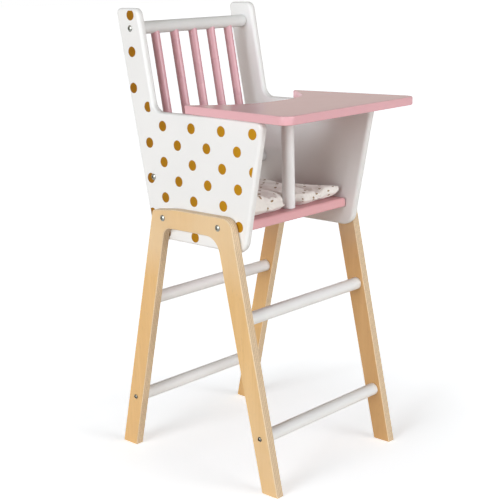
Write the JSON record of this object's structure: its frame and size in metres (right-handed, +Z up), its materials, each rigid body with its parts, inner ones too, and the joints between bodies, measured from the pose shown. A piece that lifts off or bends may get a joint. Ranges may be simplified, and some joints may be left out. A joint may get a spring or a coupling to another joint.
{
  "type": "doll high chair",
  "caption": "Doll's high chair in painted wood: barred back, tray with a belly cut-out, crotch post, loose seat cushion and splayed arched plywood leg frames tied by dowels.",
  "frame": {"origin": "on the floor, in the middle of the chair's outer box", "axes": "+Z up; -Y to the front, where the tray is; +X to the sitter's left"},
  "size_m": [0.24, 0.3109, 0.575],
  "materials": {
    "white_paint": "white satin paint on board and dowel, gold dots on the outer faces of the side panels",
    "pink_paint": "pale pink satin paint, glossy on the tray's top",
    "plywood": "clear varnished birch plywood with layered edges",
    "peg_wood": "bare beech",
    "screw_nickel": "nickel plated",
    "cushion_cotton": "woven cotton, white with a small print"
  },
  "bodies": {
    "chair": {"side_panel_left": "white_paint", "side_panel_right": "white_paint", "top_rail": "white_paint", "lower_back_rail": "white_paint", "crotch_post": "white_paint", "stretcher_rear_upper": "white_paint", "stretcher_rear_lower": "white_paint", "stretcher_front_upper": "white_paint", "stretcher_front_lower": "white_paint", "seat_board": "pink_paint", "tray": "pink_paint", "back_spindle_1": "pink_paint", "back_spindle_2": "pink_paint", "back_spindle_3": "pink_paint", "back_spindle_4": "pink_paint", "back_spindle_5": "pink_paint", "leg_frame_left": "plywood", "leg_frame_right": "plywood", "tray_peg_1": "peg_wood", "tray_peg_2": "peg_wood", "tray_peg_3": "peg_wood", "tray_peg_4": "peg_wood", "tray_peg_5": "peg_wood", "rail_screw_top_left": "screw_nickel", "rail_screw_lower_left": "screw_nickel", "rail_screw_top_right": "screw_nickel", "rail_screw_lower_right": "screw_nickel", "seat_bolt_rear_left": "screw_nickel", "seat_bolt_front_left": "screw_nickel", "seat_bolt_rear_right": "screw_nickel", "seat_bolt_front_right": "screw_nickel", "stretcher_bolt_rear_left": "screw_nickel", "stretcher_bolt_front_left": "screw_nickel", "stretcher_bolt_rear_right": "screw_nickel", "stretcher_bolt_front_right": "screw_nickel", "post_screw": "screw_nickel"},
    "cushion": {"seat_cushion": "cushion_cotton"}
  },
  "joints": [
    {"name": "cushion_slide", "type": "slide", "parent": "chair", "child": "cushion", "axis": [0, 1, 0], "range_m": [0, 0.225]}
  ]
}
